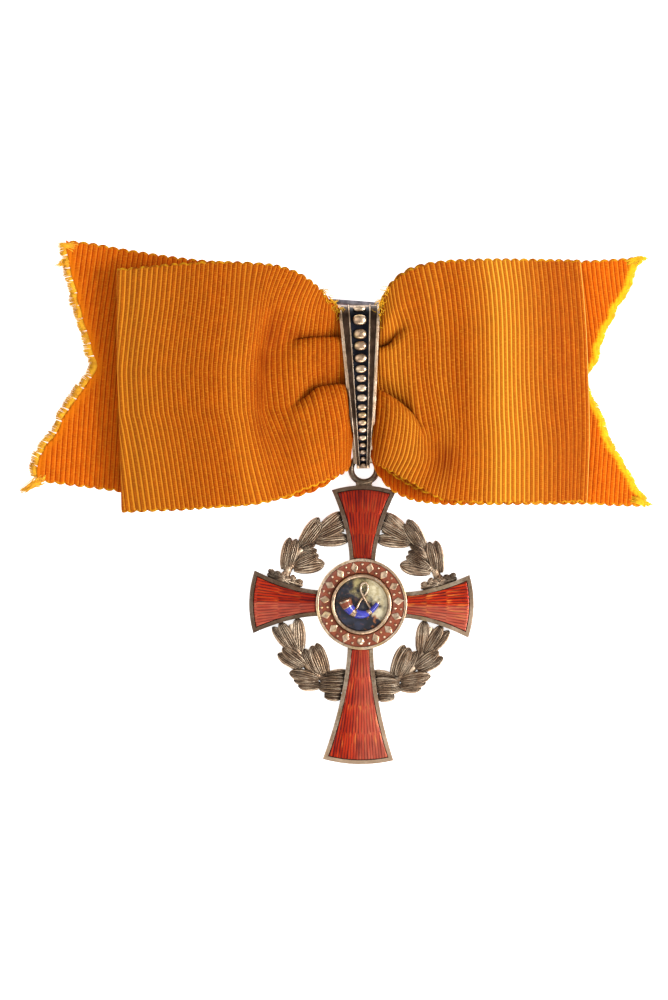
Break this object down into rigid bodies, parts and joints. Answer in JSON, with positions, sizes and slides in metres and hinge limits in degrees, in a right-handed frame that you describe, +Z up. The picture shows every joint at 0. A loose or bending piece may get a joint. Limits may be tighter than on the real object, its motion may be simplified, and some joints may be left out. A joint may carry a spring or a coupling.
{
  "type": "ribbon bow honour medal",
  "caption": "Enamelled cross with laurel wreath and horn medallion, hung by a ring from a beaded bail on a folded ribbon bow.",
  "frame": {"origin": "middle of the bounding box, at the surface the badge lies on", "axes": "+X to the right across the bow, +Y to the top of the bow, +Z up out of the badge's face"},
  "size_m": [0.0961, 0.0812, 0.0105],
  "materials": {
    "ribbon": "ribbed silk with scalloped golden edges",
    "gilt": "worn silver-gilt, darkened in the recesses",
    "pin_steel": "dull",
    "red_enamel": "translucent glossy enamel",
    "brown_enamel": "glossy enamel",
    "dark_enamel": "glossy enamel",
    "horn_enamel": "glossy enamel"
  },
  "bodies": {
    "root": {"ribbon_bow": "ribbon", "ribbon_tails": "ribbon", "bail": "gilt", "brooch_pin": "pin_steel", "cross_frame": "gilt", "enamel_top": "red_enamel", "enamel_left": "red_enamel", "enamel_right": "red_enamel", "enamel_bottom": "red_enamel", "medallion_enamel": "brown_enamel", "medallion_disc": "dark_enamel", "horn": "horn_enamel", "horn_cord": "gilt"}
  },
  "joints": []
}
